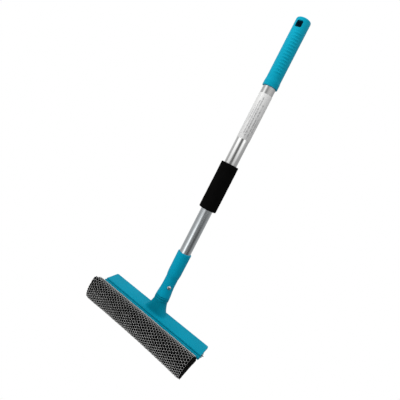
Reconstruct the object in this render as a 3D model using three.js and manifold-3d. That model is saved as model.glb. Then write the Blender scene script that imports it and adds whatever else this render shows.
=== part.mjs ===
// Telescopic window cleaning squeegee: a two-section aluminium pole with a moulded grip, and a head
// that carries a net-covered sponge on one side and a rubber blade on the other.
// Millimetres, +Z up the pole, +X along the head, -Y towards the sponge side.
// The origin is the centre of the hang hole, on the pole's axis.
import * as THREE from "three";
import { mergeVertices } from "three/addons/utils/BufferGeometryUtils.js";
import Module from "manifold-3d";

const wasm = await Module();
wasm.setup();

// ---- driving dimensions ----
const GAP = 0.3; // clearance between pieces that touch on the real tool
const ROUND = 48; // facets round the pole

const OUTER_R = 11.2; // outer tube
const OUTER_WALL = 0.6;
const INNER_R = 10.3; // inner tube
const INNER_WALL = 0.8;

// Heights are measured up from the seam between the neck and the head's collar.
const GRIP_BOTTOM = 386.3;
const GRIP_TOP = 508.8;
const GRIP_CROWN_RADIUS = 3; // rounding between the grip's side and its nearly flat crown
const GRIP_CROWN_RISE = 1;
const GRIP_R = 12.9;
const GRIP_RIM_R = 13.5;
const GRIP_RIM_HEIGHT = 12;
const HANG_HOLE_Z = 495.7;
const HANG_HOLE_WIDTH = 10.8;
const HANG_HOLE_HEIGHT = 10.8;
const HANG_HOLE_CORNER = 3;

const OUTER_TUBE_BOTTOM = 164;
const OUTER_TUBE_TOP = 486;
const LABEL_BOTTOM = 290.5;
const LABEL_TOP = 372.5;
const LABEL_THICKNESS = 0.2;

const FOAM_BOTTOM = 158.9;
const FOAM_TOP = 243.8;
const FOAM_R = 15.5;
const FERRULE_BOTTOM = 161;
const FERRULE_TOP = 182;
const FERRULE_R = 12.8;

const INNER_TUBE_BOTTOM = 36;
const INNER_TUBE_TOP = 366;

const SOCKET_TOP = 74.5;
const SOCKET_R = 12.2;
const SHOULDER_TOP = 33; // the sleeve narrows to the neck between these two heights
const SHOULDER_BOTTOM = 28;
const NECK_R = 10.8;
const NECK_BOTTOM = -8;
const SPIGOT_R = 7.4;
const SPIGOT_TOP = 30;
const SCREW_Z = 12.1;
const SCREW_TURN = THREE.MathUtils.degToRad(41); // round the neck, from the sponge side towards +X

const COLLAR_R = 12.9;
const COLLAR_BOTTOM = -16;
const STEM_BOTTOM = -38; // the stem's foot meets the plate here, on the pole's axis
const STEM_HALF_WIDTH = 22.5;
const STEM_HALF_DEPTH = 8;

const PLATE_TILT = THREE.MathUtils.degToRad(16.5); // the plate's back edge is the higher one
const PLATE_FRONT = -14; // across the plate, from the pole's axis
const PLATE_BACK = 12;
const PLATE_HALF_LENGTH = 110; // along the front edge
const PLATE_BACK_HALF_LENGTH = 108.5;
const PLATE_CORNER = 3;
const PLATE_THICKNESS = 3;

const RAIL_FRONT = -18.7;
const RAIL_TAIL = -10.6;

const BLADE_TILT = THREE.MathUtils.degToRad(-30); // the blade points back and down
const BLADE_ROOT = new THREE.Vector2(-3, -45); // y and z of the blade slot's reference line
const BLADE_HALF_LENGTH = 106.5;
const BLADE_FROM = 6;
const BLADE_TO = 26;
const BLADE_THICKNESS = 2;
const JAW_HALF_LENGTH = 107;
const JAW_SCREWS = 4;
const JAW_SCREW_SPAN = 168;

const SPONGE_LEFT = -114;
const SPONGE_RIGHT = 108.5;
const NET_LEFT = -113.5;
const NET_RIGHT = 106.5;
const NET_THICKNESS = 0.8;

// ---- materials ----
const finish = (color, roughness, metalness = 0) => () =>
  new THREE.MeshStandardMaterial({ color, roughness, metalness });
const tealPlastic = finish(0x1295b4, 0.38);
const aluminium = finish(0xb9bcbe, 0.28, 1);
const steel = finish(0xd0d2d4, 0.22, 1);
const blackFoam = finish(0x101112, 0.95);
const sponge = finish(0x0b0b0c, 1);
const netThread = finish(0x83878a, 0.8);
const rubber = finish(0x141416, 0.6);
const labelFilm = finish(0xdfe3e5, 0.35);
const whitePlastic = finish(0xe6e6e2, 0.5);
const blackPlastic = finish(0x1c1d1f, 0.5);

// ---- helpers ----
const squeegee = new THREE.Group();

function addMesh(name, geometry, material, parent = squeegee) {
  const mesh = new THREE.Mesh(geometry, material());
  mesh.name = name;
  parent.add(mesh);
  return mesh;
}

function toSolid(geometry) {
  const bare = geometry.clone();
  bare.deleteAttribute("normal");
  bare.deleteAttribute("uv");
  const merged = mergeVertices(bare, 1e-4);
  return new wasm.Manifold(
    new wasm.Mesh({
      numProp: 3,
      vertProperties: merged.attributes.position.array,
      triVerts: new Uint32Array(merged.index.array),
    }),
  );
}

function toGeometry(solid) {
  const mesh = solid.getMesh();
  const geometry = new THREE.BufferGeometry();
  geometry.setAttribute("position", new THREE.BufferAttribute(mesh.vertProperties, 3));
  geometry.setIndex(new THREE.BufferAttribute(mesh.triVerts, 1));
  return geometry;
}

const join = (...parts) => parts.map(toSolid).reduce((whole, part) => whole.add(part));
const cut = (whole, ...tools) => tools.map(toSolid).reduce((rest, tool) => rest.subtract(tool), whole);

// A profile of [radius, height] pairs turned about the pole's axis. It either starts and ends on the axis
// or closes on itself.
function turned(profile, segments = ROUND) {
  const points = profile.map(([radius, height]) => new THREE.Vector2(radius, height));
  const closed = profile[0][0] === 0 ? points : [...points, points[0].clone()];
  if (THREE.ShapeUtils.area(points) < 0) closed.reverse();
  return new THREE.LatheGeometry(closed, segments).rotateX(Math.PI / 2);
}

const tube = (outer, inner, bottom, top) =>
  turned([
    [inner, bottom],
    [outer, bottom],
    [outer, top],
    [inner, top],
  ]);

const rod = (radius, bottom, top, segments = ROUND) =>
  turned(
    [
      [0, bottom],
      [radius, bottom],
      [radius, top],
      [0, top],
    ],
    segments,
  );

// An outline in the YZ plane, drawn as a shape in (y, z), extruded along X.
function extrudeAlongX(shape, from, to) {
  const geometry = new THREE.ExtrudeGeometry(shape, { depth: to - from, bevelEnabled: false, curveSegments: 6 });
  // Shape x, y and the extrusion become the model's Y, Z and X.
  geometry.applyMatrix4(new THREE.Matrix4().set(0, 0, 1, from, 1, 0, 0, 0, 0, 1, 0, 0, 0, 0, 0, 1));
  return geometry;
}

function roundedRectangle(width, height, corner) {
  const shape = new THREE.Shape();
  const x = width / 2 - corner;
  const y = height / 2 - corner;
  shape.absarc(x, y, corner, 0, Math.PI / 2);
  shape.absarc(-x, y, corner, Math.PI / 2, Math.PI);
  shape.absarc(-x, -y, corner, Math.PI, 1.5 * Math.PI);
  shape.absarc(x, -y, corner, 1.5 * Math.PI, 2 * Math.PI);
  shape.closePath();
  return shape;
}

// Places a piece drawn in the plate's own frame: local Y runs across the plate, local Z is its normal.
const onPlate = (geometry) => geometry.rotateX(PLATE_TILT).translate(0, 0, STEM_BOTTOM);

// Places a piece drawn in the blade's own frame: local Y runs from its root to its lip.
const onBlade = (geometry) => geometry.rotateX(BLADE_TILT).translate(0, BLADE_ROOT.x, BLADE_ROOT.y);

// ---- handle: grip, outer tube and what is fixed to it ----
function handGrip() {
  const shoulder = GRIP_TOP - GRIP_CROWN_RISE - GRIP_CROWN_RADIUS;
  const crown = Array.from({ length: 5 }, (_, i) => {
    const angle = (i / 4) * (Math.PI / 2);
    const radius = GRIP_R - GRIP_CROWN_RADIUS * (1 - Math.cos(angle));
    return [radius, shoulder + GRIP_CROWN_RADIUS * Math.sin(angle)];
  });
  const bore = OUTER_R + GAP;
  const body = turned([
    [0, OUTER_TUBE_TOP + GAP],
    [bore, OUTER_TUBE_TOP + GAP],
    [bore, GRIP_BOTTOM],
    [GRIP_RIM_R, GRIP_BOTTOM],
    [GRIP_RIM_R, GRIP_BOTTOM + GRIP_RIM_HEIGHT - 2],
    [GRIP_R, GRIP_BOTTOM + GRIP_RIM_HEIGHT],
    ...crown,
    [0, GRIP_TOP],
  ]);
  const hole = new THREE.ExtrudeGeometry(roundedRectangle(HANG_HOLE_WIDTH, HANG_HOLE_HEIGHT, HANG_HOLE_CORNER), {
    depth: 4 * GRIP_R,
    bevelEnabled: false,
    curveSegments: 4,
  })
    .rotateX(Math.PI / 2)
    .translate(0, 2 * GRIP_R, HANG_HOLE_Z);
  return toGeometry(cut(toSolid(body), hole));
}

function foamGrip() {
  return turned([
    [FERRULE_R + GAP, FOAM_BOTTOM],
    [FOAM_R, FOAM_BOTTOM],
    [FOAM_R, FOAM_TOP],
    [OUTER_R + GAP, FOAM_TOP],
    [OUTER_R + GAP, FERRULE_TOP + 1],
    [FERRULE_R + GAP, FERRULE_TOP + 1],
  ]);
}

// The ferrule caps the tube's raw end and guides the inner tube through its lip.
function tubeFerrule() {
  return turned([
    [INNER_R + GAP, FERRULE_BOTTOM],
    [FERRULE_R, FERRULE_BOTTOM],
    [FERRULE_R, FERRULE_TOP],
    [OUTER_R + GAP, FERRULE_TOP],
    [OUTER_R + GAP, OUTER_TUBE_BOTTOM - GAP],
    [INNER_R + GAP, OUTER_TUBE_BOTTOM - GAP],
  ]);
}

const labelInner = OUTER_R + LABEL_THICKNESS;
addMesh("hand_grip", handGrip(), tealPlastic);
addMesh("outer_tube", tube(OUTER_R, OUTER_R - OUTER_WALL, OUTER_TUBE_BOTTOM, OUTER_TUBE_TOP), aluminium);
addMesh("tube_label", tube(labelInner + LABEL_THICKNESS, labelInner, LABEL_BOTTOM, LABEL_TOP), labelFilm);
addMesh("foam_grip", foamGrip(), blackFoam);
addMesh("tube_ferrule", tubeFerrule(), blackPlastic);

// ---- twist lock, inside the outer tube ----
const LOCK_FLANGE = INNER_TUBE_TOP + GAP;
const COLLET_BOTTOM = LOCK_FLANGE + 4;
const COLLET_TOP = COLLET_BOTTOM + 22;
const SPINDLE_TOP = COLLET_TOP + 5;
const SPINDLE_R = 3.6;

// A plug in the inner tube's end, with a spindle whose cone spreads the collet when the pole is twisted.
function lockPlug() {
  return turned(
    [
      [0, INNER_TUBE_TOP - 20],
      [INNER_R - INNER_WALL - GAP, INNER_TUBE_TOP - 20],
      [INNER_R - INNER_WALL - GAP, LOCK_FLANGE],
      [INNER_R - 0.1, LOCK_FLANGE],
      [INNER_R - 0.1, LOCK_FLANGE + 3],
      [6.6, LOCK_FLANGE + 3],
      [SPINDLE_R, LOCK_FLANGE + 13],
      [SPINDLE_R, SPINDLE_TOP],
      [0, SPINDLE_TOP],
    ],
    32,
  );
}

function lockCollet() {
  const sleeve = turned(
    [
      [7.2, COLLET_BOTTOM],
      [INNER_R, COLLET_BOTTOM],
      [INNER_R, COLLET_TOP],
      [SPINDLE_R + GAP, COLLET_TOP],
      [SPINDLE_R + GAP, COLLET_BOTTOM + 12],
    ],
    32,
  );
  const slit = new THREE.BoxGeometry(2, 2 * INNER_R, COLLET_TOP - COLLET_BOTTOM + 2).translate(
    0,
    INNER_R,
    (COLLET_TOP + COLLET_BOTTOM) / 2,
  );
  return toGeometry(cut(toSolid(sleeve), slit));
}

// A cap pressed on the spindle's end keeps the collet from running off it.
function spindleCap() {
  return turned(
    [
      [0, SPINDLE_TOP + GAP],
      [SPINDLE_R + GAP, SPINDLE_TOP + GAP],
      [SPINDLE_R + GAP, SPINDLE_TOP - 4],
      [6.5, SPINDLE_TOP - 4],
      [6.5, SPINDLE_TOP + 3],
      [0, SPINDLE_TOP + 3],
    ],
    32,
  );
}

addMesh("inner_tube", tube(INNER_R, INNER_R - INNER_WALL, INNER_TUBE_BOTTOM, INNER_TUBE_TOP), aluminium);
addMesh("lock_plug", lockPlug(), whitePlastic);
addMesh("lock_collet", lockCollet(), whitePlastic);
addMesh("spindle_cap", spindleCap(), whitePlastic);

// ---- neck: the socket that joins the pole to the head, and its screw ----
const SCREW_SHANK_R = 1.8;
const SCREW_HEAD_R = 3.7;
const SCREW_HEAD_HEIGHT = 2.2;
const SCREW_TIP = 3;

// Turns a piece drawn up the Z axis so that it points out of the neck at the screw's height.
const atNeckScrew = (geometry) =>
  geometry
    .rotateX(Math.PI / 2)
    .rotateZ(SCREW_TURN)
    .translate(0, 0, SCREW_Z);

function panHeadScrew(tip, seat) {
  return turned(
    [
      [0, tip],
      [SCREW_SHANK_R, tip + 1.5],
      [SCREW_SHANK_R, seat],
      [SCREW_HEAD_R, seat],
      [SCREW_HEAD_R, seat + 0.5 * SCREW_HEAD_HEIGHT],
      [0.7 * SCREW_HEAD_R, seat + SCREW_HEAD_HEIGHT],
      [0, seat + SCREW_HEAD_HEIGHT],
    ],
    24,
  );
}

function poleSocket() {
  const body = turned([
    [SPIGOT_R + GAP, NECK_BOTTOM],
    [NECK_R, NECK_BOTTOM],
    [NECK_R, SHOULDER_BOTTOM],
    [SOCKET_R, SHOULDER_TOP],
    [SOCKET_R, SOCKET_TOP],
    [INNER_R + GAP, SOCKET_TOP],
    [INNER_R + GAP, INNER_TUBE_BOTTOM - GAP],
    [SPIGOT_R + GAP, INNER_TUBE_BOTTOM - GAP],
  ]);
  const screwHole = atNeckScrew(rod(SCREW_SHANK_R + GAP, SPIGOT_R - 2, 2 * NECK_R, 24));
  return toGeometry(cut(toSolid(body), screwHole));
}

addMesh("pole_socket", poleSocket(), tealPlastic);
addMesh("neck_screw", atNeckScrew(panHeadScrew(SCREW_TIP, NECK_R + 0.1)), steel);

// ---- head ----
// The stem spreads from the round collar to a wide, flat foot on the plate.
function stem() {
  const overlap = 1.5;
  const height = COLLAR_BOTTOM - STEM_BOTTOM + 2 * overlap;
  const geometry = new THREE.CylinderGeometry(1, 1, height, ROUND, 8);
  geometry.rotateX(Math.PI / 2).translate(0, 0, STEM_BOTTOM - overlap + height / 2);
  const position = geometry.attributes.position;
  for (let i = 0; i < position.count; i++) {
    const down = THREE.MathUtils.clamp((COLLAR_BOTTOM - position.getZ(i)) / (COLLAR_BOTTOM - STEM_BOTTOM), 0, 1);
    const eased = down * down;
    position.setX(i, position.getX(i) * THREE.MathUtils.lerp(COLLAR_R - 0.6, STEM_HALF_WIDTH, eased));
    position.setY(i, position.getY(i) * THREE.MathUtils.lerp(COLLAR_R - 0.6, STEM_HALF_DEPTH, down));
  }
  return geometry;
}

function plate() {
  const shape = new THREE.Shape();
  const corner = PLATE_BACK_HALF_LENGTH - PLATE_CORNER;
  const back = PLATE_BACK - PLATE_CORNER;
  shape.moveTo(-PLATE_HALF_LENGTH, PLATE_FRONT);
  shape.lineTo(PLATE_HALF_LENGTH, PLATE_FRONT);
  shape.absarc(corner, back, PLATE_CORNER, 0, Math.PI / 2);
  shape.absarc(-corner, back, PLATE_CORNER, Math.PI / 2, Math.PI);
  shape.closePath();
  const geometry = new THREE.ExtrudeGeometry(shape, {
    depth: PLATE_THICKNESS,
    bevelEnabled: false,
    curveSegments: 5,
  });
  return onPlate(geometry.translate(0, 0, -PLATE_THICKNESS));
}

const FLANGE_FROM = -4;
const FLANGE_TO = 14;
const FLANGE_THICKNESS = 2.5;
const slotFace = BLADE_THICKNESS / 2 + GAP;

const barOnBlade = (halfLength, from, to, low, high) =>
  onBlade(
    new THREE.BoxGeometry(2 * halfLength, to - from, high - low).translate(0, (from + to) / 2, (low + high) / 2),
  );

const screwPlaces = Array.from(
  { length: JAW_SCREWS },
  (_, i) => -JAW_SCREW_SPAN / 2 + (i * JAW_SCREW_SPAN) / (JAW_SCREWS - 1),
);
const JAW_SCREW_SEAT = -(slotFace + 2.8);
const JAW_SCREW_TIP = slotFace + FLANGE_THICKNESS - 0.5;

// A screw hole along the blade slot's normal, open at the jaw's outer face.
const jawScrewHole = (x) => onBlade(rod(SCREW_SHANK_R + GAP, JAW_SCREW_SEAT - 2, JAW_SCREW_TIP + GAP, 16).translate(x, 0, 0));

function headBody() {
  const collar = rod(COLLAR_R, COLLAR_BOTTOM, NECK_BOTTOM - GAP);
  const spigot = rod(SPIGOT_R, COLLAR_BOTTOM, SPIGOT_TOP);
  const flange = barOnBlade(JAW_HALF_LENGTH, FLANGE_FROM, FLANGE_TO, slotFace, slotFace + FLANGE_THICKNESS);
  const neckScrewHole = atNeckScrew(rod(SCREW_SHANK_R + GAP, SCREW_TIP - 1, 2 * SPIGOT_R, 24));
  return toGeometry(cut(join(plate(), stem(), collar, spigot, flange), neckScrewHole, ...screwPlaces.map(jawScrewHole)));
}

// The jaw's heel sits on the flange and its lip presses the blade's root.
function headJaw() {
  const heelEnd = BLADE_FROM - 0.5;
  const lip = barOnBlade(JAW_HALF_LENGTH, -3, 15, JAW_SCREW_SEAT, -slotFace);
  const heel = barOnBlade(JAW_HALF_LENGTH, -3, heelEnd, JAW_SCREW_SEAT, slotFace - GAP);
  return toGeometry(cut(join(lip, heel), ...screwPlaces.map(jawScrewHole)));
}

// The rail's rounded nose stands in front of the plate; its tail tucks under the plate.
function spongeRail() {
  const nose = new THREE.Shape();
  nose.moveTo(RAIL_TAIL, -6);
  nose.lineTo(RAIL_TAIL, -PLATE_THICKNESS - GAP);
  nose.lineTo(PLATE_FRONT - 0.6, -PLATE_THICKNESS - GAP);
  nose.lineTo(PLATE_FRONT - 0.6, -1.2);
  nose.quadraticCurveTo(PLATE_FRONT - 2.4, 0.4, RAIL_FRONT, -2.4);
  nose.lineTo(RAIL_FRONT, -5.2);
  nose.lineTo(RAIL_FRONT + 0.8, -6);
  nose.closePath();
  return onPlate(extrudeAlongX(nose, -PLATE_HALF_LENGTH, PLATE_HALF_LENGTH));
}

// The sponge's section: puffed up in front of the rail, round at the front, thinning to its lower edge.
const spongeKnots = [
  [-17.5, -51.8],
  [-20.6, -46.4],
  [-25, -42.2],
  [-32, -40],
  [-39.5, -41.2],
  [-45, -47],
  [-46.8, -56],
  [-45.3, -67],
  [-41.5, -75.5],
  [-38, -78.3],
  [-34.5, -76],
  [-29, -68],
  [-23, -59.5],
];
const spongeCurve = new THREE.CatmullRomCurve3(
  spongeKnots.map(([y, z]) => new THREE.Vector3(y, z, 0)),
  true,
);

// The section pushed out by a distance, so that the net wraps the core with a constant gap.
function spongeSection(distance) {
  const steps = 40;
  return Array.from({ length: steps }, (_, i) => {
    const point = spongeCurve.getPointAt(i / steps);
    const tangent = spongeCurve.getTangentAt(i / steps);
    return new THREE.Vector2(point.x + tangent.y * distance, point.y - tangent.x * distance);
  });
}

const sectionSign = Math.sign(THREE.ShapeUtils.area(spongeSection(0)));

function spongeNet() {
  const shape = new THREE.Shape(spongeSection(sectionSign * (GAP + NET_THICKNESS)));
  shape.holes.push(new THREE.Path(spongeSection(sectionSign * GAP)));
  return extrudeAlongX(shape, NET_LEFT, NET_RIGHT);
}

addMesh("head_body", headBody(), tealPlastic);
addMesh("head_jaw", headJaw(), tealPlastic);
screwPlaces.forEach((x, i) => {
  const screw = panHeadScrew(-JAW_SCREW_TIP, -JAW_SCREW_SEAT + 0.1).rotateX(Math.PI);
  addMesh(`jaw_screw_${i + 1}`, onBlade(screw.translate(x, 0, 0)), steel);
});
addMesh("rubber_blade", barOnBlade(BLADE_HALF_LENGTH, BLADE_FROM, BLADE_TO, -1, 1), rubber);
addMesh("sponge_rail", spongeRail(), tealPlastic);
addMesh("sponge_core", extrudeAlongX(new THREE.Shape(spongeSection(0)), SPONGE_LEFT, SPONGE_RIGHT), sponge);
addMesh("sponge_net", spongeNet(), netThread);

squeegee.position.z = -HANG_HOLE_Z;

export default squeegee;
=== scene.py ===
import math

import bmesh
import bpy
import numpy as np
from mathutils import Matrix, Vector, noise


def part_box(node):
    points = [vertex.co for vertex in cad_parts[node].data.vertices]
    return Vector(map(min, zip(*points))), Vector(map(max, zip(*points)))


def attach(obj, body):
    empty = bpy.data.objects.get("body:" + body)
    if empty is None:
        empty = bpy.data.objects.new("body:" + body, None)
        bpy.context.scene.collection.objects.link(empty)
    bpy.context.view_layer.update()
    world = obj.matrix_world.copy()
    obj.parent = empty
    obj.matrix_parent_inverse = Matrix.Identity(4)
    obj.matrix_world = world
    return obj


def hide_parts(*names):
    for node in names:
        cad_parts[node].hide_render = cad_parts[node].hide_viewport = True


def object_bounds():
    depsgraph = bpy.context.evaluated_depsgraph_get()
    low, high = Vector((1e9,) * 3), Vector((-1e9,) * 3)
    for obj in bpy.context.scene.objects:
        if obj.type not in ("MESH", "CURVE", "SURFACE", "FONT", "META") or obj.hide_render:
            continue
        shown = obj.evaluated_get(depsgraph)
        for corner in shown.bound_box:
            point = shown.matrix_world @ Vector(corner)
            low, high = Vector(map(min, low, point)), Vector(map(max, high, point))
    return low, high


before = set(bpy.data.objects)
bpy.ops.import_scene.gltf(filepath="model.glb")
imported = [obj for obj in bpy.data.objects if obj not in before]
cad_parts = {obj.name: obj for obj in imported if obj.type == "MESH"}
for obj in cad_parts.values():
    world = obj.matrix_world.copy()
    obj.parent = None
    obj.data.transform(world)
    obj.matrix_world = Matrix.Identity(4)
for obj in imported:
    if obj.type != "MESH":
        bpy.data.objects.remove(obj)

MM = 0.001
cad_low, cad_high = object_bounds()

# ---- the frame's measures ----
NECK_BELOW_SEAM = 8  # the neck's lower edge, below the level that heights are measured from
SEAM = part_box("pole_socket")[0].z + NECK_BELOW_SEAM * MM


def heights(node):
    """A node's lowest and highest level, in mm from the seam."""
    low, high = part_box(node)
    return (low.z - SEAM) / MM, (high.z - SEAM) / MM


def radius(node):
    """The radius of a node turned about the pole's axis, in mm."""
    low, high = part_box(node)
    return (high.x - low.x) / 2 / MM


def ends(node):
    """A node's two ends along the head, in mm."""
    low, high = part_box(node)
    return low.x / MM, high.x / MM


GRIP_BOTTOM, GRIP_TOP = heights("hand_grip")
OUTER_BOTTOM, OUTER_TOP = heights("outer_tube")
LABEL_BOTTOM, LABEL_TOP = heights("tube_label")
FOAM_BOTTOM, FOAM_TOP = heights("foam_grip")
INNER_BOTTOM, INNER_TOP = heights("inner_tube")
SOCKET_TOP = heights("pole_socket")[1]
OUTER_R = radius("outer_tube")
INNER_R = radius("inner_tube")
LABEL_R = radius("tube_label")
FOAM_R = radius("foam_grip")
RIM_R = radius("hand_grip")
SOCKET_R = radius("pole_socket")
PLATE_LEFT, PLATE_RIGHT = ends("sponge_rail")
JAW_LEFT, JAW_RIGHT = ends("head_jaw")
BLADE_LEFT, BLADE_RIGHT = ends("rubber_blade")
SPONGE_LEFT, SPONGE_RIGHT = ends("sponge_core")
NET_LEFT, NET_RIGHT = ends("sponge_net")
HANG_HOLE = -SEAM / MM  # the hang hole's centre is the row frame's origin

GAP = 0.3  # clearance between fitted parts
WELD = 0.003  # corners closer than this are joined
ROUND = 128  # facets round the pole
OUTER_WALL = 0.6
INNER_WALL = 0.8
FERRULE_R = 12.8
FERRULE_TOP = heights("tube_ferrule")[1]
PLATE_TILT = math.radians(16.5)
PLATE_HEIGHT = -38
BLADE_TILT = math.radians(-30)
BLADE_ROOT = (0, -3, -45)
SCREW_TURN = math.radians(41)
SCREW_HEIGHT = 12.1

HANDLE, HEAD = "handle", "pole_and_head"


# ---- mesh helpers ----
def rounded(corners, steps=5):
    """A closed outline whose corners (a, b, radius) are rounded off."""
    outline = []
    for i, (a, b, corner_radius) in enumerate(corners):
        here = Vector((a, b))
        before = Vector(corners[i - 1][:2]) - here
        after = Vector(corners[(i + 1) % len(corners)][:2]) - here
        if corner_radius <= 0:
            outline.append((a, b))
            continue
        half_angle = before.angle(after) / 2
        cut = min(corner_radius / math.tan(half_angle), 0.48 * before.length, 0.48 * after.length)
        start, end = here + before.normalized() * cut, here + after.normalized() * cut
        for k in range(steps + 1):
            t = k / steps
            point = (1 - t) ** 2 * start + 2 * t * (1 - t) * here + t * t * end
            outline.append((point.x, point.y))
    return outline


def turned(outline, segments=ROUND):
    """A closed outline of (radius, height) turned about the pole's axis."""
    mesh = bmesh.new()
    rings = []
    for ring_radius, height in outline:
        if ring_radius < 1e-6:
            rings.append([mesh.verts.new((0, 0, height))])
            continue
        angles = (2 * math.pi * k / segments for k in range(segments))
        circle = [(ring_radius * math.cos(a), ring_radius * math.sin(a), height) for a in angles]
        rings.append([mesh.verts.new(point) for point in circle])
    for ring, following in zip(rings, rings[1:] + rings[:1]):
        if len(ring) == len(following) == 1:
            continue
        for k in range(segments):
            corners = [ring[k % len(ring)], ring[(k + 1) % len(ring)]]
            corners += [following[(k + 1) % len(following)], following[k % len(following)]]
            mesh.faces.new(list(dict.fromkeys(corners)))
    return outward(mesh)


def outward(mesh):
    """The mesh with its faces turned to look outwards."""
    bmesh.ops.recalc_face_normals(mesh, faces=mesh.faces)
    return mesh


def lofted(sections):
    """A closed solid through rings of equal length, with its two ends capped."""
    mesh = bmesh.new()
    rings = [[mesh.verts.new(point) for point in section] for section in sections]
    count = len(rings[0])
    for ring, following in zip(rings, rings[1:]):
        for k in range(count):
            mesh.faces.new((ring[k], ring[(k + 1) % count], following[(k + 1) % count], following[k]))
    mesh.faces.new(rings[0])
    mesh.faces.new(rings[-1])
    return outward(mesh)


def widen(vertex, factor):
    """Moves a vertex out from the pole's axis."""
    vertex.co.x *= factor
    vertex.co.y *= factor


def bar_along_x(outline, left, right):
    """An outline of (y, z) drawn out along the head."""
    return lofted([[(x, y, z) for y, z in outline] for x in (left, right)])


def as_object(mesh, name, place=Matrix.Identity(4)):
    """The mesh as an object in the row frame, from millimetres in the pole's frame."""
    mesh.transform(Matrix.Translation((0, 0, SEAM)) @ Matrix.Scale(MM, 4) @ place)
    data = bpy.data.meshes.new(name)
    mesh.to_mesh(data)
    mesh.free()
    made = bpy.data.objects.new(name, data)
    bpy.context.scene.collection.objects.link(made)
    return made


def apply_modifiers(piece):
    """Makes a piece's modifiers part of its mesh, and welds the slivers they leave."""
    bpy.context.view_layer.update()
    depsgraph = bpy.context.evaluated_depsgraph_get()
    data = bpy.data.meshes.new_from_object(piece.evaluated_get(depsgraph))
    mesh = bmesh.new()
    mesh.from_mesh(data)
    bmesh.ops.remove_doubles(mesh, verts=mesh.verts, dist=WELD * MM)
    bmesh.ops.dissolve_degenerate(mesh, edges=mesh.edges, dist=WELD * MM)
    mesh.to_mesh(data)
    mesh.free()
    piece.modifiers.clear()
    piece.data = data


def combine(piece, other, operation):
    """Joins another solid to a piece, or cuts it away."""
    modifier = piece.modifiers.new("combine", "BOOLEAN")
    modifier.operation, modifier.solver, modifier.object = operation, "EXACT", other
    apply_modifiers(piece)
    bpy.data.objects.remove(other)


def soften_edges(piece, width, sharper_than=40, segments=3):
    modifier = piece.modifiers.new("soften", "BEVEL")
    modifier.width, modifier.segments = width * MM, segments
    modifier.limit_method, modifier.angle_limit = "ANGLE", math.radians(sharper_than)
    apply_modifiers(piece)


def finish_piece(piece, body, material, nodes=(), smooth_below=35):
    """Shades a piece, gives it its material, hangs it on the body it rides on, and hides the CAD nodes it
    stands in for.
    """
    piece.data.shade_smooth()
    piece.data.set_sharp_from_angle(angle=math.radians(smooth_below))
    piece.data.materials.clear()
    piece.data.materials.append(material)
    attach(piece, body)
    if nodes:
        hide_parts(*nodes)
    return piece


# ---- material helpers ----
def new_material(name):
    material = bpy.data.materials.new(name)
    material.use_nodes = True
    return material, material.node_tree, material.node_tree.nodes["Principled BSDF"]


def add(tree, kind, inputs=None, **settings):
    """A node, with its inputs linked to sockets or set to values."""
    made = tree.nodes.new("ShaderNode" + kind)
    for name, value in settings.items():
        setattr(made, name, value)
    for name, value in (inputs or {}).items():
        if isinstance(value, bpy.types.NodeSocket):
            tree.links.new(value, made.inputs[name])
        else:
            made.inputs[name].default_value = value
    return made


def place_of(tree, scale=(1, 1, 1)):
    """The point on the object, stretched by scale."""
    coordinates = add(tree, "TexCoord").outputs["Object"]
    return add(tree, "Mapping", {"Vector": coordinates, "Scale": scale}).outputs["Vector"]


def noise_at(tree, where, scale, detail=3.0, rough=0.5):
    inputs = {"Vector": where, "Scale": scale, "Detail": detail, "Roughness": rough}
    return add(tree, "TexNoise", inputs).outputs["Fac"]


def remap(tree, value, low, high, to_low, to_high):
    inputs = {"Value": value, "From Min": low, "From Max": high, "To Min": to_low, "To Max": to_high}
    return add(tree, "MapRange", inputs).outputs["Result"]


def mix_colors(tree, factor, first, second):
    made = add(tree, "Mix", data_type="RGBA")
    for index, value in ((0, factor), (6, first), (7, second)):
        if isinstance(value, bpy.types.NodeSocket):
            tree.links.new(value, made.inputs[index])
        else:
            made.inputs[index].default_value = value
    return made.outputs[2]


def bump_from(tree, height, depth_mm, strength=1.0, normal=None):
    inputs = {"Height": height, "Distance": depth_mm * MM, "Strength": strength}
    if normal:
        inputs["Normal"] = normal
    return add(tree, "Bump", inputs).outputs["Normal"]


def math_node(tree, operation, *values):
    made = add(tree, "Math", operation=operation)
    for index, value in enumerate(values):
        if isinstance(value, bpy.types.NodeSocket):
            tree.links.new(value, made.inputs[index])
        else:
            made.inputs[index].default_value = value
    return made.outputs[0]


def shade(factor, color):
    return (color[0] * factor, color[1] * factor, color[2] * factor, 1)


# ---- materials ----
GRIP_TEAL = (0.0035, 0.328, 0.474)
# A lighter copy of the head's teal for the upright neck: painted light, standing in for the side light that
# falls on it.
NECK_PAINTED_LIGHT_TEAL = (0.002, 0.30, 0.455)
HEAD_TEAL = (0.0014, 0.218, 0.322)
# A darker copy of the teal for the hang hole's walls: painted shade inside the hole.
TUNNEL_SHADE_TEAL = (0.0008, 0.075, 0.13)
TEAL_GLOSS = (0.15, 0.95, 1, 1)
NEUTRAL_GLOSS = (1, 1, 1, 1)


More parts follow.
